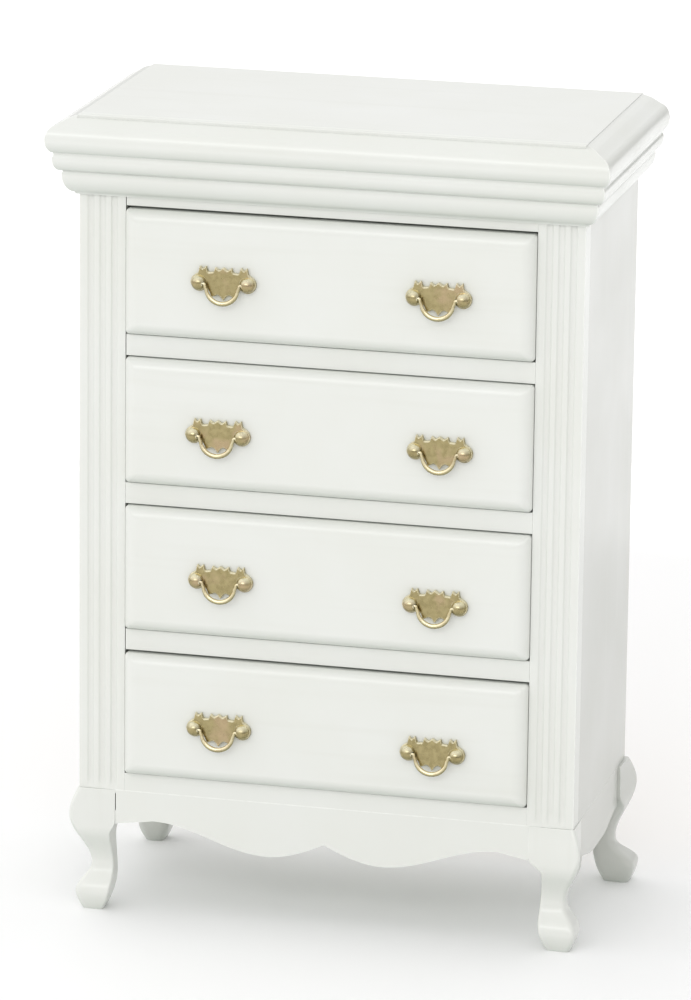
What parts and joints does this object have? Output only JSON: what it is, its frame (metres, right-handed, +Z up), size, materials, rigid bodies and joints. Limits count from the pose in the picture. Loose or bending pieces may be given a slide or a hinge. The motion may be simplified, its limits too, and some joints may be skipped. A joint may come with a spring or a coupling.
{
  "type": "miniature chest of drawers",
  "caption": "Tall dolls' house chest of drawers with fluted pilasters, moulded cornice, shaped apron, cabriole legs and gilt drop-bail pulls; the drawers slide and the bails swing.",
  "frame": {"origin": "on the ground, under the middle of the whole chest's bounding box", "axes": "+Z up, the drawers face -Y and slide out along -Y, +X to the right of someone facing the drawers"},
  "size_m": [0.0832, 0.043, 0.121],
  "materials": {
    "cream_paint": "warm white satin-gloss paint on wood",
    "bare_wood": "bare fine-grained light wood",
    "gilt_metal": "gilt stamped metal, softly polished"
  },
  "bodies": {
    "case": {"apron_front": "cream_paint", "apron_left": "cream_paint", "apron_right": "cream_paint", "back_panel": "bare_wood", "bottom_board": "cream_paint", "cornice_front": "cream_paint", "cornice_left": "cream_paint", "cornice_right": "cream_paint", "divider_1": "cream_paint", "divider_2": "cream_paint", "divider_3": "cream_paint", "leg_front_left": "cream_paint", "leg_front_right": "cream_paint", "leg_rear_left": "cream_paint", "leg_rear_right": "cream_paint", "pilaster_left": "cream_paint", "pilaster_right": "cream_paint", "rail_top": "cream_paint", "side_panel_left": "cream_paint", "side_panel_right": "cream_paint", "top_board": "cream_paint"},
    "drawer_1": {"drawer_1_back": "bare_wood", "drawer_1_bottom": "bare_wood", "drawer_1_front": "cream_paint", "drawer_1_side_left": "bare_wood", "drawer_1_side_right": "bare_wood", "pull_plate_1_left": "gilt_metal", "pull_plate_1_right": "gilt_metal"},
    "drawer_2": {"drawer_2_back": "bare_wood", "drawer_2_bottom": "bare_wood", "drawer_2_front": "cream_paint", "drawer_2_side_left": "bare_wood", "drawer_2_side_right": "bare_wood", "pull_plate_2_left": "gilt_metal", "pull_plate_2_right": "gilt_metal"},
    "drawer_3": {"drawer_3_back": "bare_wood", "drawer_3_bottom": "bare_wood", "drawer_3_front": "cream_paint", "drawer_3_side_left": "bare_wood", "drawer_3_side_right": "bare_wood", "pull_plate_3_left": "gilt_metal", "pull_plate_3_right": "gilt_metal"},
    "drawer_4": {"drawer_4_back": "bare_wood", "drawer_4_bottom": "bare_wood", "drawer_4_front": "cream_paint", "drawer_4_side_left": "bare_wood", "drawer_4_side_right": "bare_wood", "pull_plate_4_left": "gilt_metal", "pull_plate_4_right": "gilt_metal"},
    "bail_1_left": {"pull_bail_1_left": "gilt_metal"},
    "bail_1_right": {"pull_bail_1_right": "gilt_metal"},
    "bail_2_left": {"pull_bail_2_left": "gilt_metal"},
    "bail_2_right": {"pull_bail_2_right": "gilt_metal"},
    "bail_3_left": {"pull_bail_3_left": "gilt_metal"},
    "bail_3_right": {"pull_bail_3_right": "gilt_metal"},
    "bail_4_left": {"pull_bail_4_left": "gilt_metal"},
    "bail_4_right": {"pull_bail_4_right": "gilt_metal"}
  },
  "joints": [
    {"name": "drawer_1_slide", "type": "slide", "parent": "case", "child": "drawer_1", "axis": [0, -1, 0], "range_m": [0, 0.028]},
    {"name": "drawer_2_slide", "type": "slide", "parent": "case", "child": "drawer_2", "axis": [0, -1, 0], "range_m": [0, 0.028]},
    {"name": "drawer_3_slide", "type": "slide", "parent": "case", "child": "drawer_3", "axis": [0, -1, 0], "range_m": [0, 0.028]},
    {"name": "drawer_4_slide", "type": "slide", "parent": "case", "child": "drawer_4", "axis": [0, -1, 0], "range_m": [0, 0.028]},
    {"name": "bail_1_left_swing", "type": "hinge", "parent": "drawer_1", "child": "bail_1_left", "pos_m": [-0.01525, -0.02048, 0.09765], "axis": [-1, 0, 0], "range_deg": [-5, 165]},
    {"name": "bail_1_right_swing", "type": "hinge", "parent": "drawer_1", "child": "bail_1_right", "pos_m": [0.01665, -0.02048, 0.0976], "axis": [-1, 0, 0], "range_deg": [-5, 165]},
    {"name": "bail_2_left_swing", "type": "hinge", "parent": "drawer_2", "child": "bail_2_left", "pos_m": [-0.01595, -0.02048, 0.0749], "axis": [-1, 0, 0], "range_deg": [-5, 165]},
    {"name": "bail_2_right_swing", "type": "hinge", "parent": "drawer_2", "child": "bail_2_right", "pos_m": [0.01715, -0.02048, 0.0749], "axis": [-1, 0, 0], "range_deg": [-5, 165]},
    {"name": "bail_3_left_swing", "type": "hinge", "parent": "drawer_3", "child": "bail_3_left", "pos_m": [-0.0154, -0.02048, 0.05295], "axis": [-1, 0, 0], "range_deg": [-5, 165]},
    {"name": "bail_3_right_swing", "type": "hinge", "parent": "drawer_3", "child": "bail_3_right", "pos_m": [0.0168, -0.02048, 0.0519], "axis": [-1, 0, 0], "range_deg": [-5, 165]},
    {"name": "bail_4_left_swing", "type": "hinge", "parent": "drawer_4", "child": "bail_4_left", "pos_m": [-0.01555, -0.02048, 0.03035], "axis": [-1, 0, 0], "range_deg": [-5, 165]},
    {"name": "bail_4_right_swing", "type": "hinge", "parent": "drawer_4", "child": "bail_4_right", "pos_m": [0.01675, -0.02048, 0.02945], "axis": [-1, 0, 0], "range_deg": [-5, 165]}
  ]
}
